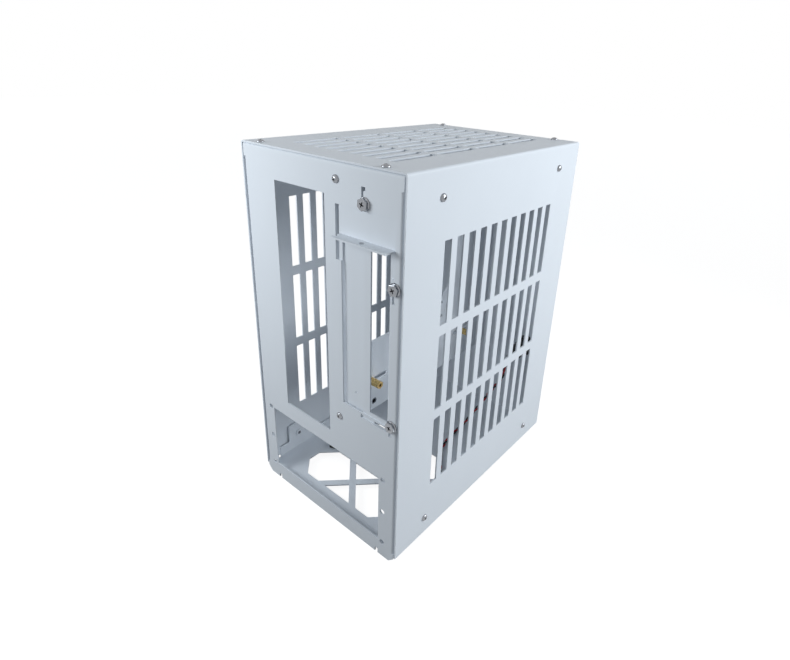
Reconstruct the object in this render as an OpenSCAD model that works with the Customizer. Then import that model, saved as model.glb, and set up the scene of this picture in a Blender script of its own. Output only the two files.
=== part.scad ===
// White mini-ITX computer case: a folded steel frame under a slotted cover, with the
// mainboard on one side of a centre tray, the graphics card on the other and the power
// supply in a bay below both. Sizes are in millimetres. X runs from the board side to the
// card side, Y from the I/O face to the front wall, and Z up. Heights are measured from the
// underside of the floor, which stands above the table on the two end walls' lower edges.

/* [Case] */
// Room between the board-side wall's outer face and the tray
board_room = 79.6; // [79.2:0.2:100]
// Distance of the open card slot from the card-side wall's outer face
slot_side = 24.5; // [24.3:0.1:30]
// Depth from the I/O face to the front wall
case_d = 192; // [188:1:230]
// Room above the mainboard, to the top of the cover
top_room = 7.7; // [7.5:0.1:40]
// Thickness of the steel sheet
sheet_t = 1; // [0.8:0.1:1.2]
// Outside radius of the folds
fold_r = 1.6; // [1.4:0.1:2.2]
// Gap between the frame and each side wall of the cover
cover_gap = 0.8; // [0.6:0.05:0.9]
// Gap between the frame and the top of the cover
top_gap = 0.2; // [0.1:0.05:0.3]
// Height of the cover's lower edges above the underside of the floor
cover_lift = 0.6; // [0:0.1:2]

/* [Cover slots] */
// Number of slot columns in a side wall
side_cols = 11; // [5:1:12]
// Number of slot rows in a side wall
side_rows = 3; // [1:1:3]
// Width of a side slot
side_slot_w = 6.5; // [3:0.5:8]
// Height of a side slot
side_slot_h = 51.7; // [30:0.1:56]
// Distance between side slot columns
side_pitch = 11.8; // [9:0.1:12]
// Distance between side slot rows
side_row_pitch = 58.6; // [57:0.1:62]
// Height of the lowest side slots
side_slot_z = 40; // [30:1:60]
// Distance of the first side slot from the I/O face
side_slot_y = 33; // [32:0.5:45]
// Number of slot columns in the top
top_cols = 9; // [3:1:9]
// Number of slot rows in the top
top_rows = 4; // [1:1:4]
// Width of a top slot
top_slot_w = 5; // [3:0.5:7]
// Length of a top slot
top_slot_l = 36; // [20:1:38]
// Distance between top slot columns
top_pitch = 10; // [8:0.5:11]
// Distance between top slot rows
top_row_pitch = 40; // [39:0.5:44]
// Distance of the first top slot from the I/O face
top_slot_y = 19.5; // [16:0.5:30]

/* [Frame] */
// Depth of the flanges folded in from the I/O face and the front wall
flange_d = 10; // [8:0.5:12]
// Height of the lips along the floor
lip_h = 9; // [7:0.5:12]
// How far the I/O face and the front wall reach below the floor
foot_h = 5; // [3:0.1:6]
// Width of the tabs that take the side screws
tab_w = 18.6; // [12:0.2:24]
// Height of those tabs above the floor, and their depth below the top
tab_h = 24; // [20:0.5:30]
// Distance of the side screws from the I/O face and from the front wall
screw_y = 28.9; // [24:0.1:40]
// Height of the lower side screws
screw_z = 13.9; // [12:0.1:16]
// Distance of the upper side screws from the top
screw_drop = 15.8; // [14:0.1:17]
// Distance of the top screws from the board side and from the card side
top_screw_x = [13.8, 18.1];
// Distance of the top screws from the I/O face
top_screw_y = 4.5; // [4.4:0.1:6]
// Width of the upper rails
rail_w = 9; // [6:0.5:9]
// How far the side flanges stand back from the frame's sides
flange_inset = 0.5; // [0.2:0.05:0.6]

/* [I/O face] */
// Width of the mainboard connector opening
io_w = 44.45; // [44.45:0.05:44.6]
// Height of the mainboard connector opening
io_h = 158.75; // [158.75:0.05:159]
// Width of the power supply opening
psu_w = 106; // [100:0.5:107]
// Height of the power supply opening
psu_h = 51.3; // [48:0.1:54]
// Height of its lower edge
psu_z = 7.3; // [5:0.1:8]
// Distance between the power supply screw holes across the case
psu_hole_w = 113; // [112.8:0.1:113.2]
// Distance between the lowest and highest power supply screw holes
psu_hole_h = 51.5; // [51.3:0.1:51.7]
// Height of the lowest power supply screw holes
psu_hole_z = 6.9; // [6:0.1:8]
// Diameter of the power supply screw holes
psu_hole_d = 3.8; // [3.5:0.1:4.2]
// Distance of the power supply's middle from the case's, towards the board side
psu_shift = 0.7; // [0:0.1:1]

/* [Floor vents] */
// Width of a floor vent
vent_w = 88; // [70:1:92]
// Depth of a floor vent
vent_d = 33; // [26:1:36]
// Distance of the first vent from the I/O face
vent_y = 12.5; // [11:0.5:20]
// Distance between the two vents, edge to edge of the same side
vent_pitch = 49; // [45:1:60]
// Size of the cut corners of a vent
vent_corner = 11.5; // [5:0.5:13]
// Width of the crossed struts in a vent
strut_w = 5; // [3:0.5:7]

/* [Board tray] */
// Gap between the connector opening and the tray, along the width
tray_gap = 3.65; // [3:0.05:5]
// Distance of the tray's front edge from the front wall
tray_front = 16; // [12:0.5:18]
// Width of the flange folded from the tray's rear edge
tray_flange = 4; // [3.5:0.1:4.5]
// Width of that flange at its screws
tray_ear = 11; // [9:0.5:11]
// Distance of the mainboard's rear edge from the I/O face
board_y = 3.5; // [2.5:0.1:5]
// Height of the mainboard's lower edge
board_z = 71.5; // [71:0.1:74]
// Height of the mainboard standoffs
standoff_h = 6.35; // [5:0.05:8]
// Distance of the riser slots' centre line above the mainboard's lower edge
riser_rise = 24.2; // [22:0.1:28]
// Length of the riser standoffs
riser_h = 8.5; // [6:0.5:12]
// Distance between the two riser standoffs
riser_pitch = 104; // [100:1:110]

/* [Card slot plate] */
// Width of one card slot
slot_w = 14.3; // [13.5:0.1:14.8]
// Distance between card slots
slot_pitch = 20.32; // [20.32:0.01:20.33]
// Gap between the tray's rear flange and the plate
plate_clear = 1.88; // [1.6:0.01:2.4]
// Height of the card ledge's upper face above the mainboard's lower edge
ledge_rise = 137.5; // [136:0.1:139]
// How far the ledge stands out of the I/O face
ledge_out = 6.5; // [5:0.5:11]
// Gap beside the plate
plate_gap = 1.8; // [1:0.1:2]
// Width of the strip that closes the unused slot
blank_w = 18.4; // [17:0.1:18.8]

/* [Power switch] */
// Distance of the switch from the card-side wall
switch_side = 20; // [17:0.5:30]
// Height of the switch
switch_z = 74; // [40:0.5:90]
// Diameter of the switch barrel
switch_d = 12; // [10:0.1:14]
// Length of the barrel behind the front wall
switch_l = 20; // [16:0.5:24]
// Travel of the button
button_travel = 1.5; // [1:0.1:2.5]
// Diameter of the button's face
button_d = 8.4; // [7:0.1:9]

/* [Screws] */
// Thread diameter of the cover, tray and standoff screws
m3_d = 3; // [3:0.01:3.05]
// Thread diameter of the slot plate screws
plate_screw_d = 3.5; // [3.4:0.05:3.6]
// Length of the frame's screws below their heads
screw_l = 6; // [5:0.5:8]
// Length of the cover's screws below their heads
cover_screw_l = 4; // [3.9:0.05:4.1]
// Clearance of a screw in a plain hole, on the diameter
hole_play = 0.4; // [0.2:0.05:0.6]

/* [Hidden] */
$fn = 48;

white = [0.84, 0.87, 0.91];
steel = [0.62, 0.64, 0.66];
gold = [0.78, 0.62, 0.28];
black = [0.06, 0.06, 0.07];

// The overall width and height, added up from what the case holds
board_size = 170;
head_lead = 4.3;
case_w = board_room + sheet_t + tray_flange + plate_clear + head_lead + slot_pitch + slot_side;
case_h = board_z + board_size + top_room;

// The frame's outer faces, inside the cover
frame_x = sheet_t + cover_gap;
frame_w = case_w - 2 * frame_x;
frame_h = case_h - sheet_t - top_gap;
far_y = case_d - screw_y;
high_z = case_h - screw_drop;
top_screw_spots = [
    for (y = [top_screw_y, case_d - top_screw_y])
        for (x = [top_screw_x[0], case_w - top_screw_x[1]]) [x, y]
];

// The switch's parts along Y, seen from the front wall's outer face
bezel_t = 2;
bezel_d = switch_d + 3;
button_out = 1.8;
nut_t = 3;
washer_t = 0.8;
switch_out = bezel_t + button_out;

// The whole object's middle in Y, from the card ledge to the button's face
middle_y = (case_d + switch_out - ledge_out) / 2;

// Heads of the fasteners
pan_d = 4.8;
pan_h = 1.6;
cap_d = 7.8;
cap_h = 2.4;
tap_play = 0.1;

// The connector opening follows the mainboard
tray_x = board_room;
tray_x1 = tray_x + sheet_t;
io_x = tray_x - tray_gap - io_w;
io_z = board_z - 0.6;
switch_x = case_w - switch_side;

// The card slot plate, behind the I/O face
slot_x = case_w - slot_side;
ledge_z = board_z + ledge_rise;
slot_z = ledge_z - 107;
blank_x = slot_x - slot_pitch;
slot_top = ledge_z - 3;
plate_x1 = case_w - frame_x - flange_inset - fold_r - 0.1;
plate_top = ledge_z + 24;
plate_low = slot_z - 10;
head_x = blank_x - head_lead;
head_z = ledge_z - 15.5;
lug_w = 2.6;
window_step = ledge_z - 15.5;
window_top = ledge_z + 16.5;
window_low = slot_z - 2.5;
ledge_x0 = blank_x - 3.4;
ledge_x1 = slot_x + slot_w + 3.1;
ledge_hole_y = -2.9;
ledge_hole_x = slot_x - 3;
ledge_hole_d = 3.5;
tongue_x = slot_x + 4;
tongue_w = 10.6;
tongue_z = slot_z - 6.1;
tongue_h = 2.8;
hook_w = 1.5;
plate_screws = [
    [slot_x - 3.9, ledge_z + 20.2],
    [plate_x1 - 2.1, ledge_z - 20.8],
    [plate_x1 - 2.1, slot_z - 0.2]
];

// The board tray, and what is fastened to it
tray_z = board_z;
tray_top = case_h - 7.2;
tray_y1 = case_d - tray_front;
arm_low = tray_top - 37;
arm_high = tray_top - 7;
tray_screw_x = tray_x1 + 5;
tray_screw_z = [board_z + 16.1, case_h - 10.4];
ear_h = 8;
front_screw_z = [arm_low + 7, arm_high - 7];
board_holes = [
    [board_y + 33.02, board_z + 6.35],
    [board_y + 165.1, board_z + 6.35],
    [board_y + 10.16, board_z + 163.83],
    [board_y + 165.1, board_z + 163.83]
];
standoff_af = 5.5;
rivet_d = 4.6;
riser_z = board_z + riser_rise;
riser_y = 33.5;
riser_spots = [riser_y, riser_y + riser_pitch];
riser_slot_l = 25;
riser_af = 4.8;
nut_h = 2.4;
m3_tap_d = 2.5;
hex_round = 2 / sqrt(3);
window_z = board_z + 54.5;
tray_window = [
    [20, window_z], [100, window_z], [118, window_z + 18], [118, window_z + 96],
    [20, window_z + 96]
];
tie_slots = [[106, window_z - 9], [106, window_z + 2.4]];

// The switch lead: a twisted pair, from the switch's sleeve to its loose connector
lead_d = 2.8;
lead_rest = sheet_t + lead_d / 2 + 0.1;
sleeve_l = 9;
sleeve_d = 4.4;
lead_start = [switch_x, case_d - sheet_t - switch_l - sleeve_l - 0.3, switch_z];
mid_x = case_w / 2;
lead_points = concat([lead_start], [
    [mid_x + 47.8, 159, 73.6], [mid_x + 48.1, 156, 70.5], [mid_x + 48.2, 155, 65],
    [mid_x + 47.4, 155, 57.5], [mid_x + 44.6, 155.2, 50.5], [mid_x + 40.8, 155, 44.5],
    [mid_x + 36.8, 154.8, 36.5], [mid_x + 32.8, 154, 28.5], [mid_x + 28.8, 152.5, 20],
    [mid_x + 25.3, 149.5, 12.5], [mid_x + 22.8, 144.5, 6],
    [mid_x + 21.8, 138, lead_rest + 0.6], [mid_x + 21.8, 131, lead_rest],
    [mid_x + 22.6, 122, lead_rest], [mid_x + 24.2, 112, lead_rest],
    [mid_x + 27.2, 102, lead_rest], [mid_x + 31.8, 94, lead_rest],
    [mid_x + 37.3, 87.5, lead_rest], [mid_x + 42.3, 81, lead_rest],
    [mid_x + 45.1, 73, lead_rest], [mid_x + 43.3, 64.5, lead_rest],
    [mid_x + 37.3, 58.5, lead_rest], [mid_x + 28.8, 55.3, lead_rest],
    [mid_x + 16.8, 54, lead_rest], [mid_x + 2.8, 53.6, lead_rest],
    [mid_x - 11.2, 53, lead_rest], [mid_x - 20.7, 53, lead_rest],
    [mid_x - 26.7, 52.2, lead_rest], [mid_x - 31.7, 50.6, lead_rest]
]);
lead_sides = 8;
lead_step = 3;
plug_l = 14;
plug_w = 5.1;
plug_h = 2.5;
plug_turn = 200;

// Puts a shape measured from the I/O face's lower board-side corner where it stands
module from_corner() {
    translate([-case_w / 2, -middle_y, foot_h]) children();
}

// An outline in Y and Z, extruded along X
module along_x(x, length) {
    translate([x, 0, 0]) rotate([90, 0, 90]) linear_extrude(length) children();
}

// An outline in X and Z, extruded along Y
module along_y(y, length) {
    translate([0, y + length, 0]) rotate([90, 0, 0]) linear_extrude(length) children();
}

// A rectangle with four round corners
module round_rect(w, h, r) {
    translate([r, 0]) square([w - 2 * r, h]);
    translate([0, r]) square([w, h - 2 * r]);
    for (x = [r, w - r], y = [r, h - r]) translate([x, y]) circle(r);
}

// The section of a sheet folded all round a rectangle
module folded_loop(w, h) {
    difference() {
        round_rect(w, h, fold_r);
        translate([sheet_t, sheet_t])
            round_rect(w - 2 * sheet_t, h - 2 * sheet_t, fold_r - sheet_t);
    }
}

// A hole along Y through a sheet, at a place on the I/O face or the front wall
module hole_y(x, z, d, y = -1, length = 3) {
    translate([x, y, z]) rotate([-90, 0, 0]) cylinder(h = length, d = d);
}

// A hole along X
module hole_x(y, z, d, x = -1, length = 3) {
    translate([x, y, z]) rotate([0, 90, 0]) cylinder(h = length, d = d);
}

// A cross-recessed pan head screw that points along -Z, its head's seat at Z = 0
module pan_screw(length = screw_l) {
    difference() {
        union() {
            rotate_extrude() polygon([
                [0, 0], [pan_d / 2, 0], [pan_d / 2, 0.8], [pan_d / 2 - 0.4, 1.3],
                [pan_d / 2 - 1, pan_h], [0, pan_h]
            ]);
            translate([0, 0, -length]) cylinder(h = length + 0.1, d = m3_d - tap_play);
        }
        for (turn = [45, 135]) rotate(turn)
            translate([-1.3, -0.3, pan_h - 0.9]) cube([2.6, 0.6, 2]);
    }
}

// A hexagon washer-head screw, as pan_screw
module washer_screw() {
    difference() {
        union() {
            cylinder(h = 0.8, d = cap_d);
            cylinder(h = cap_h, d = 6.35 * hex_round, $fn = 6);
            translate([0, 0, -screw_l])
                cylinder(h = screw_l + 0.1, d = plate_screw_d - tap_play);
        }
        for (turn = [45, 135]) rotate(turn)
            translate([-2, -0.4, cap_h - 1.3]) cube([4, 0.8, 2]);
    }
}

// A hexagon of a given size across its flats
module hexagon(af, length) {
    cylinder(h = length, d = af * hex_round, $fn = 6);
}

// The inverted U that covers both sides and the top
module cover() color(white) from_corner() difference() {
    along_y(0, case_d) difference() {
        union() {
            translate([0, cover_lift]) square([case_w, case_h - fold_r - cover_lift]);
            translate([0, case_h / 2]) round_rect(case_w, case_h / 2, fold_r);
        }
        translate([sheet_t, -1]) square([case_w - 2 * sheet_t, case_h - fold_r + 1]);
        translate([sheet_t, case_h / 2])
            round_rect(case_w - 2 * sheet_t, case_h / 2 - sheet_t, fold_r - sheet_t);
    }
    for (col = [0:side_cols - 1], row = [0:side_rows - 1])
        translate([-1, side_slot_y + col * side_pitch, side_slot_z + row * side_row_pitch])
            cube([case_w + 2, side_slot_w, side_slot_h]);
    for (col = [0:top_cols - 1], row = [0:top_rows - 1])
        translate([
            case_w / 2 + (col - (top_cols - 1) / 2) * top_pitch - top_slot_w / 2,
            top_slot_y + row * top_row_pitch, case_h - sheet_t - 1
        ]) cube([top_slot_w, top_slot_l, sheet_t + 2]);
    for (y = [screw_y, far_y], z = [screw_z, high_z])
        hole_x(y, z, m3_d + hole_play, -1, case_w + 2);
    for (spot = top_screw_spots)
        translate([spot[0], spot[1], case_h - sheet_t - 1])
            cylinder(h = sheet_t + 2, d = m3_d + hole_play);
}

// A screw tab on a side of the frame: a plate with an extruded, tapped collar
module screw_tab(y, z_low, z_screw, mirrored = false) {
    translate([mirrored ? case_w : 0, 0, 0]) mirror([mirrored ? 1 : 0, 0, 0]) {
        translate([frame_x, y - tab_w / 2, z_low]) cube([sheet_t, tab_w, tab_h - fold_r]);
        hole_x(y, z_screw, m3_d + 2.4, frame_x, sheet_t + 1);
    }
}

// The outline of one floor vent, seen from above
module vent_outline() {
    far = vent_d - vent_corner;
    polygon([
        [vent_corner, 0], [vent_w - vent_corner, 0], [vent_w, vent_corner], [vent_w, far],
        [vent_w - vent_corner, vent_d], [vent_corner, vent_d], [0, far], [0, vent_corner]
    ]);
}

// One floor vent's cut, with its crossed struts left standing
module vent_cut() {
    translate([0, 0, -1]) linear_extrude(sheet_t + 2) difference() {
        vent_outline();
        for (turn = [45, -45])
            translate([vent_w / 2, vent_d / 2]) rotate(turn)
                square([vent_w, strut_w], center = true);
    }
}

// A hook-shaped slot beside a slot plate screw: a stem and a short arm
module hook_slot(x, z, rise, arm) {
    tip = z + rise;
    translate([x - hook_w / 2, -1, min(z, tip)]) cube([hook_w, sheet_t + 2, abs(rise)]);
    translate([x - hook_w / 2, -1, tip - (rise > 0 ? arm : 0)])
        cube([arm + hook_w / 2, sheet_t + 2, arm]);
}

// The window in the I/O face through which the slot plate shows
module plate_window() {
    along_y(-1, sheet_t + 2) polygon([
        [blank_x - plate_gap, window_low], [slot_x + slot_w + 1.7, window_low],
        [slot_x + slot_w + 1.7, window_step], [ledge_x1 + 0.4, window_step],
        [ledge_x1 + 0.4, window_top], [head_x - plate_gap, window_top],
        [head_x - plate_gap, window_step], [blank_x - plate_gap, window_step]
    ]);
}

// Everything cut out of the I/O face
module io_face_cuts() {
    psu_x = (case_w - psu_w) / 2 - psu_shift;
    hole_x0 = psu_x + (psu_w - psu_hole_w) / 2;
    translate([io_x, -1, io_z]) cube([io_w, sheet_t + 2, io_h]);
    translate([psu_x, -1, psu_z]) cube([psu_w, sheet_t + 2, psu_h]);
    for (x = [hole_x0, hole_x0 + psu_hole_w], row = [0, 0.5, 1])
        hole_y(x, psu_hole_z + row * psu_hole_h, psu_hole_d);
    for (z = tray_screw_z) hole_y(tray_screw_x, z, m3_d + hole_play);
    plate_window();
    translate([tongue_x - tongue_w, -1, tongue_z]) cube([2 * tongue_w, sheet_t + 2, tongue_h]);
    for (spot = plate_screws) hole_y(spot[0], spot[1], plate_screw_d + hole_play);
    hook_slot(plate_screws[0][0] - 1.7, plate_screws[0][1], 8.8, 2.2);
    hook_slot(plate_screws[1][0] - 1.2, plate_screws[1][1], -8.8, 1.4);
    hook_slot(plate_screws[2][0] - 1.4, plate_screws[2][1], -8, 1.2);
}

// The edge of an end wall below the floor, with cut corners and two notches
module foot_edge() {
    end_x = case_w - frame_x;
    notch_w = 2.4;
    along_y(0, sheet_t) difference() {
        polygon([
            [frame_x, 3], [frame_x, -1], [frame_x + 4, -foot_h], [end_x - 4, -foot_h],
            [end_x, -1], [end_x, 3]
        ]);
        for (x = [15.5, case_w - 15.5 - notch_w])
            translate([x, -foot_h - 1]) square([notch_w, foot_h - 0.6]);
    }
}

// The folded frame: I/O face, floor and front wall in one sheet
module chassis() color(white) from_corner() difference() {
    side_low = 3;
    side_high = case_h - 9.2;
    flange_x = frame_x + flange_inset;
    union() {
        difference() {
            along_x(frame_x, frame_w) folded_loop(case_d, frame_h);
            translate([0, flange_d + 2, frame_h - fold_r])
                cube([case_w, case_d - 2 * flange_d - 4, 2 * fold_r]);
            for (x = [flange_x - 2, case_w - flange_x - fold_r])
                translate([x, -1, side_low])
                    cube([fold_r + 2, case_d + 2, side_high - side_low]);
            for (x = [frame_x - 1, case_w - frame_x - fold_r])
                translate([x, fold_r, -1]) cube([fold_r + 1, case_d - 2 * fold_r, 4]);
        }
        translate([flange_x, 0, side_low]) linear_extrude(side_high - side_low)
            difference() {
                folded_loop(case_w - 2 * flange_x, case_d);
                translate([-1, flange_d]) square([case_w, case_d - 2 * flange_d]);
            }
        translate([frame_x, 0, 0]) along_y(flange_d + 0.6, case_d - 2 * flange_d - 1.2)
            difference() {
                folded_loop(frame_w, 3 * lip_h);
                translate([-1, lip_h]) square([case_w, 3 * lip_h]);
            }
        for (y = [screw_y, far_y], side = [false, true])
            screw_tab(y, fold_r, screw_z, side);
        for (y = [0, case_d - sheet_t]) translate([0, y, 0]) foot_edge();
    }
    io_face_cuts();
    for (near = [0, 1])
        translate([case_w / 2 - 1.7 - vent_w / 2, vent_y + near * vent_pitch, 0]) vent_cut();
    for (y = [screw_y, far_y]) hole_x(y, screw_z, m3_d, -1, case_w + 2);
    for (spot = top_screw_spots)
        translate([spot[0], spot[1], frame_h - sheet_t - 1])
            cylinder(h = sheet_t + 2, d = m3_d);
    hole_y(switch_x, switch_z, switch_d + 0.2, case_d - sheet_t - 1, sheet_t + 2);
    for (z = front_screw_z)
        hole_y(tray_x1 + 6, z, m3_d + hole_play, case_d - sheet_t - 1, sheet_t + 2);
}

// An upper rail on the board side: an L-section with two tabs for the cover's side screws
module top_rail() {
    rail_z = frame_h - sheet_t;
    difference() {
        union() {
            along_y(flange_d + 0.6, case_d - 2 * flange_d - 1.2) intersection() {
                translate([frame_x, rail_z - 3 * lip_h]) folded_loop(3 * rail_w, 3 * lip_h);
                translate([frame_x, rail_z - lip_h]) square([rail_w, lip_h]);
            }
            translate([frame_x + fold_r, fold_r, rail_z - sheet_t])
                cube([rail_w - fold_r, case_d - 2 * fold_r, sheet_t]);
            for (y = [screw_y, far_y]) screw_tab(y, rail_z - tab_h, high_z);
        }
        for (y = [screw_y, far_y]) hole_x(y, high_z, m3_d, -1, 6);
    }
}

module top_rail_left() color(white) from_corner() top_rail();

module top_rail_right() color(white) from_corner()
    translate([case_w, 0, 0]) mirror([1, 0, 0]) top_rail();

// The tray between the mainboard and the card
module board_tray() color(white) from_corner() difference() {
    union() {
        translate([tray_x, sheet_t + fold_r, tray_z])
            cube([sheet_t, tray_y1 - sheet_t - fold_r, tray_top - tray_z]);
        translate([tray_x, sheet_t, tray_z]) linear_extrude(tray_top - tray_z) intersection() {
            folded_loop(4 * tray_flange, 4 * tray_flange);
            square([tray_flange + sheet_t, fold_r + 0.01]);
        }
        for (z = tray_screw_z)
            translate([tray_x1, sheet_t, min(z, tray_top - ear_h / 2) - ear_h / 2])
                cube([tray_ear, sheet_t, ear_h]);
        translate([tray_x, 0, arm_low]) linear_extrude(arm_high - arm_low) intersection() {
            translate([0, case_d - sheet_t - 4 * tray_front])
                folded_loop(4 * tray_ear, 4 * tray_front);
            translate([0, tray_y1 - 1]) square([tray_ear + sheet_t + 1, tray_front]);
        }
    }
    along_x(tray_x - 1, sheet_t + 2) polygon(tray_window);
    for (spot = board_holes) hole_x(spot[0], spot[1], rivet_d + 0.1, tray_x - 1);
    for (y = riser_spots)
        translate([tray_x - 1, y - riser_slot_l / 2 + 3, riser_z - m3_d / 2 - 0.15])
            cube([sheet_t + 2, riser_slot_l, m3_d + 0.3]);
    for (spot = tie_slots) translate([tray_x - 1, spot[0], spot[1]]) cube([sheet_t + 2, 5, 2.4]);
    for (z = tray_screw_z) hole_y(tray_screw_x, z, m3_d, sheet_t - 1);
    for (z = front_screw_z)
        hole_y(tray_x1 + 6, z, m3_d, case_d - 2 * sheet_t - 1, sheet_t + 2);
}

// The plate behind the I/O face with the card slots and the ledge for the card's bracket
module slot_plate() color(white) from_corner() difference() {
    union() {
        along_y(sheet_t, sheet_t) polygon([
            [head_x, head_z], [head_x, plate_top], [plate_x1, plate_top],
            [plate_x1, plate_low], [blank_x + slot_w, plate_low],
            [blank_x + slot_w, slot_top], [head_x + lug_w, slot_top], [head_x + lug_w, head_z]
        ]);
        translate([ledge_x0, -ledge_out, ledge_z - sheet_t])
            cube([ledge_x1 - ledge_x0, ledge_out + sheet_t + 0.5, sheet_t]);
    }
    translate([slot_x, 0, slot_z]) cube([slot_w, 3 * sheet_t, slot_top - slot_z]);
    translate([tongue_x, 0, tongue_z]) cube([tongue_w, 3 * sheet_t, tongue_h]);
    for (spot = plate_screws) hole_y(spot[0], spot[1], plate_screw_d, 0);
    for (x = [ledge_hole_x - slot_pitch, ledge_hole_x])
        translate([x, ledge_hole_y, ledge_z - 2 * sheet_t])
            cylinder(h = 3 * sheet_t, d = ledge_hole_d);
    translate([ledge_x0 - 1, ledge_hole_y - ledge_hole_d / 2, ledge_z - 2 * sheet_t])
        cube([ledge_hole_x - slot_pitch - ledge_x0 + 1, ledge_hole_d, 3 * sheet_t]);
}

// The strip that closes the unused card slot, welded behind the plate
module slot_blank() color(white) from_corner() difference() {
    translate([blank_x - 0.6, 2 * sheet_t, slot_z - 5])
        cube([blank_w, sheet_t, slot_top + 2 - slot_z + 5]);
    hole_y(blank_x + 7.6, slot_z + 8, 1.4, sheet_t, 3);
}

// Four pressed-in standoffs in the mini-ITX pattern
module board_standoffs() color(steel) from_corner() for (spot = board_holes)
    translate([tray_x, spot[0], spot[1]]) rotate([0, 90, 0]) difference() {
        union() {
            translate([0, 0, -standoff_h]) hexagon(standoff_af, standoff_h);
            cylinder(h = 0.9 * sheet_t, d = rivet_d);
        }
        translate([0, 0, -standoff_h - 1]) cylinder(h = standoff_h + 3, d = m3_tap_d);
    }

// Two standoffs for the riser board, screwed through the tray's slots
module riser_standoffs() color(gold) from_corner() for (y = riser_spots)
    translate([tray_x1, y, riser_z]) rotate([0, 90, 0]) difference() {
        union() {
            hexagon(riser_af, riser_h);
            translate([0, 0, -sheet_t - nut_h - 0.6])
                cylinder(h = sheet_t + nut_h + 0.7, d = m3_d - tap_play);
        }
        translate([0, 0, riser_h - 5]) cylinder(h = 6, d = m3_tap_d);
    }

module riser_nuts() color(steel) from_corner() for (y = riser_spots)
    translate([tray_x - nut_h, y, riser_z]) rotate([0, 90, 0]) difference() {
        hexagon(standoff_af, nut_h);
        translate([0, 0, -1]) cylinder(h = nut_h + 2, d = m3_d);
    }

module side_screws() {
    for (y = [screw_y, far_y], z = [screw_z, high_z])
        translate([0, y, z]) rotate([0, -90, 0]) pan_screw(cover_screw_l);
}

module cover_screws_left() color(steel) from_corner() side_screws();

module cover_screws_right() color(steel) from_corner()
    translate([case_w, 0, 0]) mirror([1, 0, 0]) side_screws();

module top_screws() color(steel) from_corner()
    for (spot = top_screw_spots)
        translate([spot[0], spot[1], case_h]) pan_screw(cover_screw_l);

module tray_screws() color(steel) from_corner() for (z = tray_screw_z)
    translate([tray_screw_x, 0, z]) rotate([90, 0, 0]) pan_screw();

module tray_front_screws() color(steel) from_corner() for (z = front_screw_z)
    translate([tray_x1 + 6, case_d, z]) rotate([-90, 0, 0]) pan_screw();

module slot_plate_screws() color(steel) from_corner() for (spot = plate_screws)
    translate([spot[0], 0, spot[1]]) rotate([90, 0, 0]) washer_screw();

// Places a part of the switch: Z = 0 is the front wall's outer face, +Z points out
module at_switch() {
    translate([switch_x, case_d, switch_z]) rotate([-90, 0, 0]) children();
}

module switch_body() color(black) from_corner() at_switch() difference() {
    union() {
        translate([0, 0, -sheet_t - switch_l]) cylinder(h = switch_l + sheet_t, d = switch_d);
        cylinder(h = bezel_t - 0.5, d = bezel_d);
        cylinder(h = bezel_t, d = bezel_d - 1);
    }
    translate([0, 0, -8]) cylinder(h = 9, d = button_d + 1.8);
    translate([0, 0, 0]) cylinder(h = bezel_t + 1, d = button_d + 0.4);
}

module switch_washer() color(steel) from_corner() at_switch()
    translate([0, 0, -sheet_t - washer_t]) difference() {
        cylinder(h = washer_t, d = switch_d + 5);
        translate([0, 0, -1]) cylinder(h = washer_t + 2, d = switch_d + 0.2);
    }

module switch_nut() color(black) from_corner() at_switch()
    translate([0, 0, -sheet_t - washer_t - nut_t]) difference() {
        hexagon(switch_d + 3, nut_t);
        translate([0, 0, -1]) cylinder(h = nut_t + 2, d = switch_d + 0.05);
    }

// The button, its collar held behind the bezel
module power_button() color(black) from_corner() at_switch() union() {
    translate([0, 0, -2]) cylinder(h = switch_out + 1.6, d = button_d);
    translate([0, 0, -2]) cylinder(h = switch_out + 2, d = button_d - 1);
    translate([0, 0, -4]) cylinder(h = 3.8, d = button_d + 1.4);
    translate([0, 0, -6]) cylinder(h = 2.1, d = 4);
}

module lead_sleeve() color(black) from_corner()
    translate([switch_x, lead_start[1], switch_z]) rotate([-90, 0, 0])
        cylinder(h = sleeve_l, d = sleeve_d);

// A smooth curve through points, sampled n times between each pair
function curve_at(a, b, c, d, t) =
    0.5 * (2 * b + (c - a) * t + (2 * a - 5 * b + 4 * c - d) * t * t
        + (3 * b - a - 3 * c + d) * t * t * t);
function smooth(p, n) = [
    for (i = [0:len(p) - 2], k = [0:n - 1])
        curve_at(p[max(i - 1, 0)], p[i], p[i + 1], p[min(i + 2, len(p) - 1)], k / n),
    p[len(p) - 1]
];

// A tube swept along a curve as one polyhedron, its rings kept upright
module swept_tube(path, d, sides) {
    last = len(path) - 1;
    function heading(i) = path[min(i + 1, last)] - path[max(i - 1, 0)];
    function unit(v) = v / norm(v);
    function side_of(h) = unit(cross(h, abs(h[2]) > 0.9 * norm(h) ? [0, 1, 0] : [0, 0, 1]));
    rings = [
        for (i = [0:last])
            let (h = unit(heading(i)), s = side_of(h), u = cross(s, h))
                for (k = [0:sides - 1])
                    path[i] + d / 2 * (cos(k * 360 / sides) * s + sin(k * 360 / sides) * u)
    ];
    walls = [
        for (i = [0:last - 1], k = [0:sides - 1])
            let (a = i * sides + k, b = i * sides + (k + 1) % sides)
                [a, b, b + sides, a + sides]
    ];
    ends = [
        [for (k = [sides - 1:-1:0]) k],
        [for (k = [0:sides - 1]) last * sides + k]
    ];
    polyhedron(points = rings, faces = concat(walls, ends), convexity = 10);
}

module switch_lead() color([0.35, 0.05, 0.07]) from_corner()
    swept_tube(smooth(lead_points, lead_step - 1), lead_d, lead_sides);

// Places a part of the loose connector: X runs along it, away from the lead
module at_connector() {
    last = lead_points[len(lead_points) - 1];
    translate([last[0], last[1], sheet_t + plug_h / 2]) rotate(plug_turn) children();
}

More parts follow.
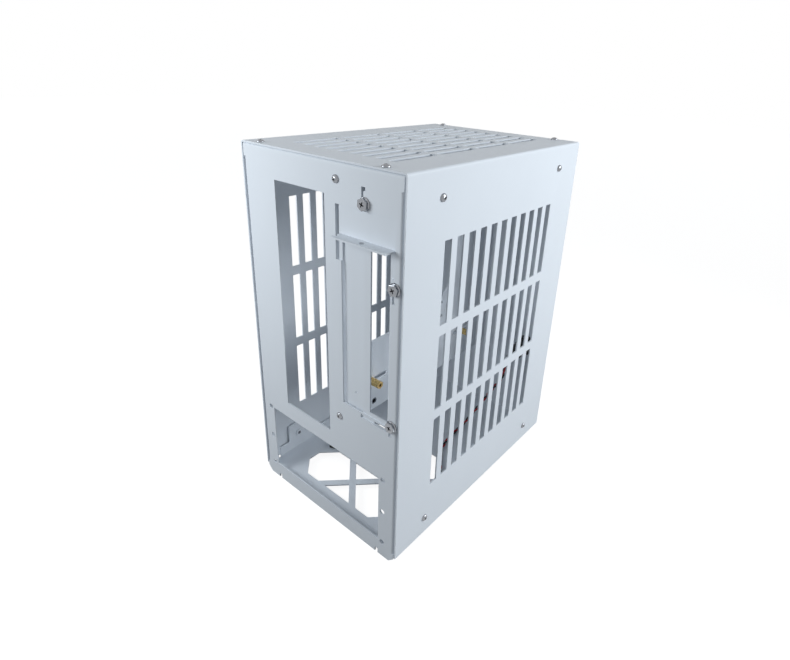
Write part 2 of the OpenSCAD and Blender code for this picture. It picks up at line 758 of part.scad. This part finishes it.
module lead_connector() color(black) from_corner() at_connector() difference() {
    translate([0.1, -plug_w / 2, -plug_h / 2]) cube([plug_l, plug_w, plug_h]);
    for (side = [-1, 1]) translate([2.5, side * 1.27 - 0.75, -0.75]) cube([plug_l, 1.5, 1.5]);
}

module lead_contacts() color(gold) from_corner() at_connector()
    for (side = [-1, 1]) translate([2.5, side * 1.27, 0]) rotate([0, 90, 0]) difference() {
        cylinder(h = plug_l - 3.5, d = 1.4);
        translate([0, 0, 2]) cylinder(h = plug_l, d = 0.8);
    }

cover();
chassis();
top_rail_left();
top_rail_right();
board_tray();
slot_plate();
slot_blank();
board_standoffs();
riser_standoffs();
riser_nuts();
cover_screws_left();
cover_screws_right();
top_screws();
tray_screws();
tray_front_screws();
slot_plate_screws();
switch_body();
switch_washer();
switch_nut();
power_button();
lead_sleeve();
switch_lead();
lead_connector();
lead_contacts();
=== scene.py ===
# %% [markdown]
# White mini-ITX computer case
#
# The case is a folded steel frame under a slotted cover, finished in satin white powder
# coat. The sheets, screws and switch come from the CAD model as a fixed frame. This
# lesson gives them their finishes, models what CAD leaves plain, such as the twisted pair
# of the switch lead and the screw heads, and sets the camera, floor and lights.

import math
import bmesh
import bpy
from mathutils import Matrix, Vector


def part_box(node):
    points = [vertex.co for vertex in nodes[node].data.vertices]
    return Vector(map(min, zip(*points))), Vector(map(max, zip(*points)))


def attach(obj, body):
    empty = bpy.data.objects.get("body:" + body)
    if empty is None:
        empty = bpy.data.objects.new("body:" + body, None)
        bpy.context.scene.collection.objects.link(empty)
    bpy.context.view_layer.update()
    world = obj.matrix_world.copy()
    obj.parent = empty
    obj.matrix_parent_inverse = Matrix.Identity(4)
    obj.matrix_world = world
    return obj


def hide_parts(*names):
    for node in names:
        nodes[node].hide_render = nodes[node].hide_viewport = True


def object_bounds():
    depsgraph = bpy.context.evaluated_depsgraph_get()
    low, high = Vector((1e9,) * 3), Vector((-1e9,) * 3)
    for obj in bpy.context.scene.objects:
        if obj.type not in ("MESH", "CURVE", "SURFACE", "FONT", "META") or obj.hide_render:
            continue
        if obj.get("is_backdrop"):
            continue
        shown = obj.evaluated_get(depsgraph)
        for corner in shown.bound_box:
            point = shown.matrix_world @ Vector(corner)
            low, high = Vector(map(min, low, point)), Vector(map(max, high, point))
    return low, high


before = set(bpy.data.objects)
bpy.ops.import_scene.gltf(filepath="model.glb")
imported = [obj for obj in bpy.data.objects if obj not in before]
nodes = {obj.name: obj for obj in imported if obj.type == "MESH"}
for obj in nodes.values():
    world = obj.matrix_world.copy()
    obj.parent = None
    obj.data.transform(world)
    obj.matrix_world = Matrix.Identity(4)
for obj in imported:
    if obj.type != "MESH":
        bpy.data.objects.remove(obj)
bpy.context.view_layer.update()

# %% [markdown]
# ## Places on the case
#
# Sizes on sheet metal are measured from a corner, because a folder's drawing starts there.
# The CAD model stands with the middle of its base at the origin, and its floor is held off
# the table by the lower edges of the end walls. One small helper turns millimetres from
# the floor's corner by the I/O face into the frame's metres, so that a place in this
# script reads like one on the drawing.

# %% A helper that places by the drawing
CASE_WIDTH = 135.6
MIDDLE_DEPTH = 94.65
FLOOR_LIFT = 5.0


def on_case(x, y, z):
    return Vector((x - CASE_WIDTH / 2, y - MIDDLE_DEPTH, z + FLOOR_LIFT)) / 1000


print("Corner by the I/O face:", tuple(on_case(0, 0, 0)))

# %% [markdown]
# ## Camera
#
# The photograph was taken from close by, a little above the case, with a wide lens, so
# its upright edges lean towards each other. The lens and the place below were fitted to
# the corners of the case. The shift moves the frame without turning the camera, which
# keeps that lean as it is.

# %% Camera at the photograph's place


def in_scene(name, data):
    item = bpy.data.objects.new(name, data)
    bpy.context.scene.collection.objects.link(item)
    return item


view = bpy.data.cameras.new("photo_view")
view.sensor_width = 36
view.lens = 24.08
view.shift_x = -0.0318
view.shift_y = -0.0601
view.clip_start = 0.01
camera = in_scene("photo_view", view)
camera.location = (0.2280, -0.28305, 0.30146)
camera.rotation_euler = [math.radians(turn) for turn in (67.58, -2.44, 39.52)]
bpy.context.scene.camera = camera
print(f"Field of view {math.degrees(view.angle):.0f} degrees")

# %% [markdown]
# ## Switch lead
#
# A power switch comes with a thin red and black pair of wires, twisted by machine, that
# is limp enough to lie where it falls. It drops from the back of the switch to the floor,
# makes one loose bend and ends in a small connector. The route is the CAD model's own. A
# smooth curve goes through its points, and each wire circles that curve half a turn from
# the other, which is how a real pair is laid.

# %% Route of the lead
STEPS_BETWEEN_STOPS = 12
LEAD_STOPS = [
    (115.6, 161.7, 74), (115.6, 159, 73.6), (115.9, 156, 70.5), (116, 155, 65),
    (115.2, 155, 57.5), (112.4, 155.2, 50.5), (108.6, 155, 44.5), (104.6, 154.8, 36.5),
    (100.6, 154, 28.5), (96.6, 152.5, 20), (93.1, 149.5, 12.5), (90.6, 144.5, 6),
    (89.6, 138, 3.1), (89.6, 131, 2.5), (90.4, 122, 2.5), (92, 112, 2.5), (95, 102, 2.5),
    (99.6, 94, 2.5), (105.1, 87.5, 2.5), (110.1, 81, 2.5), (112.9, 73, 2.5),
    (111.1, 64.5, 2.5), (105.1, 58.5, 2.5), (96.6, 55.3, 2.5), (84.6, 54, 2.5),
    (70.6, 53.6, 2.5), (56.6, 53, 2.5), (47.1, 53, 2.5), (41.1, 52.2, 2.5),
    (36.1, 50.6, 2.5),
]


def smooth_route(stops, steps):
    points = [on_case(*stop) for stop in stops]
    line = []
    for i in range(len(points) - 1):
        a, b = points[max(i - 1, 0)], points[i]
        c, d = points[i + 1], points[min(i + 2, len(points) - 1)]
        for k in range(steps):
            t = k / steps
            line.append(0.5 * (2 * b + (c - a) * t + (2 * a - 5 * b + 4 * c - d) * t * t
                               + (3 * b - a - 3 * c + d) * t ** 3))
    return line + [points[-1]]


def length_of(line):
    return sum((b - a).length for a, b in zip(line, line[1:]))


lead_route = smooth_route(LEAD_STOPS, STEPS_BETWEEN_STOPS)
print(f"Lead: {length_of(lead_route):.3f} m")

# %% A wire's path beside the route
WIRE_WIDTH = 0.0014
TWIST_LENGTH = 0.013


def wire_beside(line, start_turn):
    side = Vector((1, 0, 0))
    travelled = 0
    points = []
    for i, point in enumerate(line):
        ahead = (line[min(i + 1, len(line) - 1)] - line[max(i - 1, 0)]).normalized()
        side = (side - ahead * side.dot(ahead)).normalized()
        turn = start_turn + 2 * math.pi * travelled / TWIST_LENGTH
        offset = Matrix.Rotation(turn, 3, ahead) @ side * (WIRE_WIDTH / 2)
        points.append(point + offset)
        if i + 1 < len(line):
            travelled += (line[i + 1] - point).length
    return points


wire_paths = [wire_beside(lead_route, start_turn) for start_turn in (0, math.pi)]
print(f"Wires: {length_of(wire_paths[0]):.3f} and {length_of(wire_paths[1]):.3f} m")

# %% Two wires twisted about the route


def mesh_of(form, name):
    mesh = bpy.data.meshes.new(name)
    form.to_mesh(mesh)
    form.free()
    return mesh


def evaluated_mesh(item):
    ready = item.evaluated_get(bpy.context.evaluated_depsgraph_get())
    return bpy.data.meshes.new_from_object(ready)


def tube_along(name, points, width):
    curve = bpy.data.curves.new(name, "CURVE")
    curve.dimensions = "3D"
    curve.bevel_depth = width / 2
    curve.bevel_resolution = 3
    curve.use_fill_caps = True
    spline = curve.splines.new("POLY")
    spline.points.add(len(points) - 1)
    for spot, point in zip(spline.points, points):
        spot.co = (*point, 1)
    holder = in_scene(name, curve)
    mesh = evaluated_mesh(holder)
    bpy.data.objects.remove(holder)
    return mesh


pair = bmesh.new()
for index, path in enumerate(wire_paths):
    wire = tube_along("wire", path, WIRE_WIDTH)
    first = len(pair.faces)
    pair.from_mesh(wire)
    pair.faces.ensure_lookup_table()
    for face in pair.faces[first:]:
        face.material_index = index
        face.smooth = True
lead_mesh = mesh_of(pair, "lead_pair")
print(f"Lead pair: {len(lead_mesh.polygons)} faces")

# %% The pair takes the place of the plain CAD lead
lead = in_scene("lead_pair", lead_mesh)
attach(lead, "case")
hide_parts("switch_lead")
print("Lead of the case:", lead.name)

# %% [markdown]
# ## Finishes from node groups
#
# Each family of finishes is one node group. It reads a place on the object, varies a
# colour, a roughness and a bump with noise there, and hands those three out. A material
# places the group with its own values and leads them to the Principled shader. The parts
# that every group needs are small helpers.

# %% Helpers that open and close a group
GROUP_OUTPUTS = {"Colour": "NodeSocketColor", "Roughness": "NodeSocketFloat",
                 "Normal": "NodeSocketVector"}


def new_group(name, inputs):
    group = bpy.data.node_groups.new(name, "ShaderNodeTree")
    for label, kind, value in inputs:
        socket = group.interface.new_socket(label, in_out="INPUT", socket_type=kind)
        socket.default_value = value
    for label, kind in GROUP_OUTPUTS.items():
        group.interface.new_socket(label, in_out="OUTPUT", socket_type=kind)
    given = group.nodes.new("NodeGroupInput").outputs
    place = group.nodes.new("ShaderNodeTexCoord").outputs["Object"]
    return group, given, place


def hand_out(group, **results):
    end = group.nodes.new("NodeGroupOutput")
    for label, result in results.items():
        group.links.new(result, end.inputs[label])


print("Every group hands out:", ", ".join(GROUP_OUTPUTS))

# %% Helpers for the nodes inside a group


def feed(tree, socket, source):
    if isinstance(source, bpy.types.NodeSocket):
        tree.links.new(source, socket)
    else:
        socket.default_value = source


def noise_at(tree, place, scale, detail):
    noise = tree.nodes.new("ShaderNodeTexNoise")
    noise.inputs["Scale"].default_value = scale
    noise.inputs["Detail"].default_value = detail
    tree.links.new(place, noise.inputs["Vector"])
    return noise.outputs["Fac"]


def value_between(tree, factor, low, high):
    spread = tree.nodes.new("ShaderNodeMapRange")
    feed(tree, spread.inputs["Value"], factor)
    feed(tree, spread.inputs["To Min"], low)
    feed(tree, spread.inputs["To Max"], high)
    return spread.outputs["Result"]


def colour_between(tree, factor, first, second):
    blend = tree.nodes.new("ShaderNodeMix")
    blend.data_type = "RGBA"
    feed(tree, blend.inputs["Factor"], factor)
    feed(tree, blend.inputs["A"], first)
    feed(tree, blend.inputs["B"], second)
    return blend.outputs["Result"]


def bumped(tree, height, distance, strength):
    bump = tree.nodes.new("ShaderNodeBump")
    bump.inputs["Distance"].default_value = distance
    feed(tree, bump.inputs["Height"], height)
    feed(tree, bump.inputs["Strength"], strength)
    return bump.outputs["Normal"]


print("Node helpers ready")

# %% A material that places a group


def new_material(name):
    material = bpy.data.materials.new(name)
    material.use_nodes = True
    shader = material.node_tree.nodes["Principled BSDF"]
    return material, material.node_tree, shader


def grouped_material(name, group, colour, values):
    material, tree, shader = new_material(name)
    finish = tree.nodes.new("ShaderNodeGroup")
    finish.node_tree = group
    finish.inputs["Colour"].default_value = (*colour, 1)
    for label, value in values.items():
        finish.inputs[label].default_value = value
    tree.links.new(finish.outputs["Colour"], shader.inputs["Base Color"])
    tree.links.new(finish.outputs["Roughness"], shader.inputs["Roughness"])
    tree.links.new(finish.outputs["Normal"], shader.inputs["Normal"])
    material.diffuse_color = (*colour, 1)
    return material, shader


print("Material helpers ready")

# %% [markdown]
# ## Powder coat
#
# Powder coat is sprayed on dry and baked, so the film pulls into shallow dimples called
# orange peel, about a millimetre across, which only bend the light a little. The coat is
# satin: it scatters most of the light and mirrors little, and its gloss and its colour
# are faintly cloudy over larger patches.

# %% Node group and material for the coating
PEEL_DEPTH = 0.00006
COAT_MIRROR = 0.12

coat, given, place = new_group(
    "powder_coat",
    [("Colour", "NodeSocketColor", (0.8, 0.8, 0.8, 1)),
     ("Shade", "NodeSocketColor", (0.7, 0.7, 0.7, 1)),
     ("Peel", "NodeSocketFloat", 0.3)])
cloud = noise_at(coat, place, scale=28, detail=3)
patches = noise_at(coat, place, scale=240, detail=2)
dimples = noise_at(coat, place, scale=900, detail=2)
hand_out(coat, Colour=colour_between(coat, cloud, given["Shade"], given["Colour"]),
         Roughness=value_between(coat, patches, 0.36, 0.5),
         Normal=bumped(coat, dimples, PEEL_DEPTH, given["Peel"]))


def coated(name, colour, shade, peel):
    values = {"Shade": (*shade, 1), "Peel": peel}
    material, shader = grouped_material(name, coat, colour, values)
    shader.inputs["Specular IOR Level"].default_value = COAT_MIRROR
    return material


white_coat = coated("white_coat", (0.80, 0.84, 0.89), (0.77, 0.81, 0.86), 0.35)
print("Material:", white_coat.name)

# %% [markdown]
# ## Bright metal
#
# The screws are nickel plated and the standoffs are turned brass. Both are fully
# metallic, so their look comes from what they mirror and from how rough they are. Turning
# and plating leave fine scratches and a slightly uneven gloss, so one group varies the
# colour and the roughness and lays a faint bump over the surface.

# %% Node group and materials for metal
SCRATCH_DEPTH = 0.00001
SCRATCH_STRENGTH = 0.3

metal, given, place = new_group(
    "turned_metal",
    [("Colour", "NodeSocketColor", (0.6, 0.6, 0.6, 1)),
     ("Dull", "NodeSocketColor", (0.5, 0.5, 0.5, 1)),
     ("Smoothest", "NodeSocketFloat", 0.2), ("Roughest", "NodeSocketFloat", 0.4)])
blotch = noise_at(metal, place, scale=700, detail=3)
scratches = noise_at(metal, place, scale=4000, detail=2)
hand_out(metal, Colour=colour_between(metal, blotch, given["Dull"], given["Colour"]),
         Roughness=value_between(metal, blotch, given["Smoothest"], given["Roughest"]),
         Normal=bumped(metal, scratches, SCRATCH_DEPTH, SCRATCH_STRENGTH))


def metallic(name, colour, dull, smoothest, roughest):
    values = {"Dull": (*dull, 1), "Smoothest": smoothest, "Roughest": roughest}
    material, shader = grouped_material(name, metal, colour, values)
    shader.inputs["Metallic"].default_value = 1
    return material


nickel = metallic("nickel_plate", (0.33, 0.34, 0.36), (0.20, 0.21, 0.23), 0.12, 0.24)
# Dark metal for the walls of the cross recess: painted shade for the hollow.
recess_painted_shade = metallic("recess_painted_shade", (0.10, 0.10, 0.11), (0.05, 0.05, 0.06), 0.45, 0.6)
turned_brass = metallic("turned_brass", (0.80, 0.58, 0.25), (0.62, 0.43, 0.17), 0.2, 0.36)
print("Materials:", nickel.name, recess_painted_shade.name, turned_brass.name)

# %% [markdown]
# ## Screws
#
# A pan head screw is cold formed: a low dome on a plain shank, with a cross pressed into
# it by a tapered punch. The CAD model's heads are plain, so each is made again here. A
# profile spun about the axis gives the dome and the shank, and a Boolean with a tapered
# cross presses the recess, which is how the real head gets it. The wall of the recess
# gets a dark metal, which is painted shade for the light that hardly reaches into it. The
# screws of the card slots have a hexagon on a washer, for a nut driver, and a larger cross.

# %% A spun form and a tapered cross
MM = 0.001
MERGE_DISTANCE = 1e-7
TIP_REACH = 0.5
TIP_WIDTH = 0.7
PUNCH_ABOVE = 0.5


def spun(profile, steps=28):
    form = bmesh.new()
    line = [form.verts.new((radius * MM, 0, height * MM)) for radius, height in profile]
    edges = [form.edges.new(ends) for ends in zip(line, line[1:])]
    bmesh.ops.spin(form, geom=line + edges, cent=(0, 0, 0), axis=(0, 0, 1),
                   angle=2 * math.pi, steps=steps, use_merge=True)
    bmesh.ops.remove_doubles(form, verts=form.verts, dist=MERGE_DISTANCE)
    bmesh.ops.recalc_face_normals(form, faces=form.faces)
    return form


def cross_punch(reach, width, top, depth):
    form = bmesh.new()
    for turn in (45, 135):
        made = bmesh.ops.create_cube(form, size=1)["verts"]
        for vert in made:
            at_tip = vert.co.z < 0
            vert.co.x *= 2 * reach * (TIP_REACH if at_tip else 1) * MM
            vert.co.y *= width * (TIP_WIDTH if at_tip else 1) * MM
            vert.co.z = (top - depth if at_tip else top + PUNCH_ABOVE) * MM
        bmesh.ops.rotate(form, verts=made, cent=(0, 0, 0),
                         matrix=Matrix.Rotation(math.radians(turn), 3, "Z"))
    return mesh_of(form, "punch")


print("Form helpers ready")

# %% Press the cross into a head


def punched(body, punch, name):
    for finish in (nickel, recess_painted_shade):
        body.materials.append(finish)
        punch.materials.append(finish)
    # The punch's faces become the recess wall and take the dark metal, painted shade for the
    # hollow.
    for face in punch.polygons:
        face.material_index = 1
    blank, tool = in_scene(body.name, body), in_scene(punch.name, punch)
    press = blank.modifiers.new("recess", "BOOLEAN")
    press.operation = "DIFFERENCE"
    press.solver = "EXACT"
    press.use_self = True
    press.object = tool
    mesh = evaluated_mesh(blank)
    mesh.name = name
    for piece in (blank, tool):
        bpy.data.objects.remove(piece)
    return mesh


print("Press ready")

# %% The two kinds of head
PAN_DOME = [(0, 1.6), (0.7, 1.55), (1.3, 1.4), (1.85, 1.1), (2.25, 0.65), (2.4, 0.25),
            (2.4, 0), (1.45, 0)]
WASHER = [(0, 1.0), (3.0, 1.0), (3.55, 0.85), (3.9, 0.35), (3.85, 0), (1.7, 0)]
END_CHAMFER = 0.3
HEX_ACROSS = 6.35
HEX_FOOT = 0.8
HEX_RISE = 1.6
HEX_BEVEL = 0.35


def pan_screw(length):
    shank = [(1.45, END_CHAMFER - length), (1.15, -length), (0, -length)]
    body = mesh_of(spun(PAN_DOME + shank), "pan_body")
    return punched(body, cross_punch(reach=1.4, width=0.62, top=1.6, depth=1.0), "pan_screw")


def washer_screw(length):
    shank = [(1.7, END_CHAMFER - length), (1.3, -length), (0, -length)]
    form = spun(WASHER + shank)
    made = bmesh.ops.create_circle(form, cap_ends=True, segments=6,
                                   radius=HEX_ACROSS / math.sqrt(3) * MM)["verts"]
    bmesh.ops.translate(form, verts=made, vec=(0, 0, HEX_FOOT * MM))
    foot = [face for face in form.faces if all(vert in made for vert in face.verts)]
    grown = bmesh.ops.extrude_face_region(form, geom=foot)["geom"]
    top = [item for item in grown if isinstance(item, bmesh.types.BMVert)]
    bmesh.ops.translate(form, verts=top, vec=(0, 0, HEX_RISE * MM))
    rim = [edge for edge in form.edges if all(vert in top for vert in edge.verts)]
    bmesh.ops.bevel(form, geom=rim, offset=HEX_BEVEL * MM, segments=2, affect="EDGES",
                    profile=0.5, material=-1)
    bmesh.ops.recalc_face_normals(form, faces=form.faces)
    body = mesh_of(form, "washer_body")
    return punched(body, cross_punch(reach=1.8, width=0.8, top=2.4, depth=1.3),
                   "washer_screw")


short_pan, long_pan, plate_screw = pan_screw(4), pan_screw(6), washer_screw(6)
print("Faces in a head:", len(short_pan.polygons), len(plate_screw.polygons))

# %% Set each screw at its hole
EAST, WEST, OUT, BACK, UP = (1, 0, 0), (-1, 0, 0), (0, -1, 0), (0, 1, 0), (0, 0, 1)
CASE_DEPTH = 192
CASE_TOP = 249.2
FIRST_TURN = 25
NEXT_TURN = 47
SIDE_SPOTS = [(28.9, 13.9), (28.9, 233.4), (163.1, 13.9), (163.1, 233.4)]
SCREWS = {
    "cover_screws_left": (short_pan, WEST, [(0, y, z) for y, z in SIDE_SPOTS]),
    "cover_screws_right": (short_pan, EAST, [(CASE_WIDTH, y, z) for y, z in SIDE_SPOTS]),
    "top_screws": (short_pan, UP, [(x, y, CASE_TOP) for x in (13.8, 117.5)
                                   for y in (4.5, 187.5)]),
    "tray_screws": (long_pan, OUT, [(85.6, 0, 87.6), (85.6, 0, 238.8)]),
    "tray_front_screws": (long_pan, BACK, [(86.6, CASE_DEPTH, 212), (86.6, CASE_DEPTH, 228)]),
    "slot_plate_screws": (plate_screw, OUT, [(107.2, 0, 229.2), (129.5, 0, 188.2),
                                             (129.5, 0, 101.8)]),
}


def set_screws(node, kind, outward, spots):
    form = bmesh.new()
    stand = Vector(outward).to_track_quat("Z", "X").to_matrix().to_4x4()
    for index, spot in enumerate(spots):
        before = len(form.verts)
        form.from_mesh(kind)
        form.verts.ensure_lookup_table()
        turn = Matrix.Rotation(math.radians(FIRST_TURN + NEXT_TURN * index), 4, "Z")
        bmesh.ops.transform(form, matrix=Matrix.Translation(on_case(*spot)) @ stand @ turn,
                            verts=form.verts[before:])
    mesh = mesh_of(form, node + "_turned")
    # The second slot is the dark metal of the recess walls, painted shade.
    for finish in (nickel, recess_painted_shade):
        mesh.materials.append(finish)
    screws = in_scene(node + "_turned", mesh)
    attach(screws, "case")
    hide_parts(node)
    return screws


turned_screws = {node: set_screws(node, *plan) for node, plan in SCREWS.items()}
for node, screws in turned_screws.items():
    low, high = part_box(node)
    corners = [screws.matrix_world @ Vector(corner) for corner in screws.bound_box]
    drift = max(abs(min(c[k] for c in corners) - low[k]) for k in range(3))
    print(f"{node}: {len(screws.data.polygons)} faces, {1000 * drift:.2f} mm from the CAD box")

# %% [markdown]
# ## Plastics and wire covers
#
# The switch housing is moulded with a fine spark-eroded grain, while wire covers are
# extruded and so are smooth and a little glossy. A group for moulded plastic takes the
# grain's strength, and the wire covers use the same group with hardly any grain.

# %% Node group and materials for plastic
GRAIN_DEPTH = 0.00004
WORN_ROUGHER = 0.12

plastic, given, place = new_group(
    "moulded_plastic",
    [("Colour", "NodeSocketColor", (0.04, 0.04, 0.04, 1)),
     ("Worn", "NodeSocketColor", (0.06, 0.06, 0.06, 1)),
     ("Grain", "NodeSocketFloat", 0.3), ("Roughness", "NodeSocketFloat", 0.5)])
wear = noise_at(plastic, place, scale=160, detail=3)
grain = noise_at(plastic, place, scale=2600, detail=2)
rougher = plastic.nodes.new("ShaderNodeMath")
rougher.operation = "MULTIPLY_ADD"
for socket, source in zip(rougher.inputs, (wear, WORN_ROUGHER, given["Roughness"])):
    feed(plastic, socket, source)
hand_out(plastic, Colour=colour_between(plastic, wear, given["Colour"], given["Worn"]),
         Roughness=rougher.outputs["Value"],
         Normal=bumped(plastic, grain, GRAIN_DEPTH, given["Grain"]))


def moulded(name, colour, worn, grain_strength, roughness):
    values = {"Worn": (*worn, 1), "Grain": grain_strength, "Roughness": roughness}
    return grouped_material(name, plastic, colour, values)[0]


housing_black = moulded("housing_black", (0.018, 0.018, 0.020), (0.03, 0.03, 0.032), 0.35, 0.42)
sleeve_black = moulded("sleeve_black", (0.012, 0.012, 0.013), (0.02, 0.02, 0.02), 0.1, 0.5)
wire_red = moulded("wire_red", (0.45, 0.02, 0.03), (0.36, 0.015, 0.025), 0.05, 0.3)
wire_black = moulded("wire_black", (0.012, 0.012, 0.014), (0.02, 0.02, 0.022), 0.05, 0.3)
lead_mesh.materials.append(wire_red)
lead_mesh.materials.append(wire_black)
print("Materials:", housing_black.name, wire_red.name)

# %% [markdown]
# ## Finishes on the CAD pieces
#
# Every sheet of the case gets the same coat, because such cases are coated as loose
# sheets in one batch and screwed together afterwards. A CAD node keeps its mesh, so a
# finish is only put in its material slot.

# %% Put each finish on its pieces
FINISHES = {
    white_coat: ["cover", "chassis", "top_rail_left", "top_rail_right", "board_tray",
                 "slot_plate", "slot_blank"],
    nickel: ["riser_nuts", "board_standoffs", "switch_washer"],
    turned_brass: ["riser_standoffs", "lead_contacts"],
    housing_black: ["switch_body", "switch_nut", "power_button", "lead_connector"],
    sleeve_black: ["lead_sleeve"],
}
for material, names in FINISHES.items():
    for name in names:
        slots = nodes[name].data.materials
        slots.clear()
        slots.append(material)
print("Finished:", sum(len(names) for names in FINISHES.values()), "CAD nodes")

# %% [markdown]
# ## Floor and background
#
# The photograph has a plain white ground with no horizon. A large floor stands in for
# it. Its surface glows for the camera and for mirrors, so it comes out as white as the
# sky above it, and only where the case holds the light off does a faint shadow stay. A
# grey base colour keeps it from throwing much light up at the case.

# %% A white floor
FLOOR_HALF_SIZE = 4
FLOOR_GLOW = 0.9

floor_form = bmesh.new()
bmesh.ops.create_grid(floor_form, x_segments=1, y_segments=1, size=FLOOR_HALF_SIZE)
floor_mesh = mesh_of(floor_form, "floor")
floor = in_scene("floor", floor_mesh)
floor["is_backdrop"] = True
paper, tree, shader = new_material("paper_white")
shader.inputs["Base Color"].default_value = (0.3, 0.3, 0.3, 1)
shader.inputs["Roughness"].default_value = 0.9
shader.inputs["Specular IOR Level"].default_value = 0.1


def seen_directly(tree):
    ray = tree.nodes.new("ShaderNodeLightPath")
    total = ray.outputs["Is Camera Ray"]
    for kind in ("Is Glossy Ray", "Is Transmission Ray"):
        either = tree.nodes.new("ShaderNodeMath")
        either.operation = "MAXIMUM"
        tree.links.new(total, either.inputs[0])
        tree.links.new(ray.outputs[kind], either.inputs[1])
        total = either.outputs["Value"]
    return total


lift = tree.nodes.new("ShaderNodeMath")
lift.operation = "MULTIPLY"
lift.inputs[1].default_value = FLOOR_GLOW
tree.links.new(seen_directly(tree), lift.inputs[0])
shader.inputs["Emission Color"].default_value = (1, 1, 1, 1)
tree.links.new(lift.outputs["Value"], shader.inputs["Emission Strength"])
floor_mesh.materials.append(paper)
print("Floor:", paper.name)

# %% [markdown]
# ## Light
#
# The slotted wall is brightest at its upper edge and the I/O face at its upper left
# corner, and both fade downwards. So one lamp stands beyond each of them. The one on the
# slotted side is aimed at the top edge with a narrowed spread, and the one by the I/O
# face is small and near, so both lose light on the way down. The world is white where
# the camera or a mirror sees it, and elsewhere it gives only a faint fill. Lamps and fill
# are slightly cool.

# %% World and lamps
COOL_WHITE = (0.91, 0.96, 1)
FILL_STRENGTH = 0.27

world = bpy.data.worlds.new("studio")
bpy.context.scene.world = world
world.use_nodes = True
air = world.node_tree
fill = air.nodes["Background"]
fill.inputs["Color"].default_value = (*COOL_WHITE, 1)
fill.inputs["Strength"].default_value = FILL_STRENGTH
white = air.nodes.new("ShaderNodeBackground")
white.inputs["Color"].default_value = (1, 1, 1, 1)
mixed = air.nodes.new("ShaderNodeMixShader")
air.links.new(seen_directly(air), mixed.inputs["Fac"])
air.links.new(fill.outputs["Background"], mixed.inputs[1])
air.links.new(white.outputs["Background"], mixed.inputs[2])
air.links.new(mixed.outputs["Shader"], air.nodes["World Output"].inputs["Surface"])


def soft_lamp(name, place, target, size, watts, spread):
    light = bpy.data.lights.new(name, "AREA")
    light.size = size
    light.energy = watts
    light.color = COOL_WHITE
    light.spread = math.radians(spread)
    lamp = in_scene(name, light)
    lamp.location = place
    aim = Vector(target) - Vector(place)
    lamp.rotation_euler = aim.to_track_quat("-Z", "Y").to_euler()


soft_lamp("card_side", place=(0.75, 0.45, 0.44), target=(0.068, 0, 0.32), size=0.5,
          watts=2.1, spread=90)
soft_lamp("io_side", place=(-0.2, -0.36, 0.3), target=(-0.068, -0.095, 0.22), size=0.2,
          watts=0.74, spread=160)

# %% [markdown]
# ## View settings and size
#
# The render uses plain view settings, so that a colour comes out as it is written. The
# size of the dressed case, without the floor, is printed at the end.

# %% Finish
bpy.context.scene.view_settings.view_transform = "Standard"
low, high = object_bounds()
print("Size in mm:", [round(1000 * (b - a), 1) for a, b in zip(low, high)])
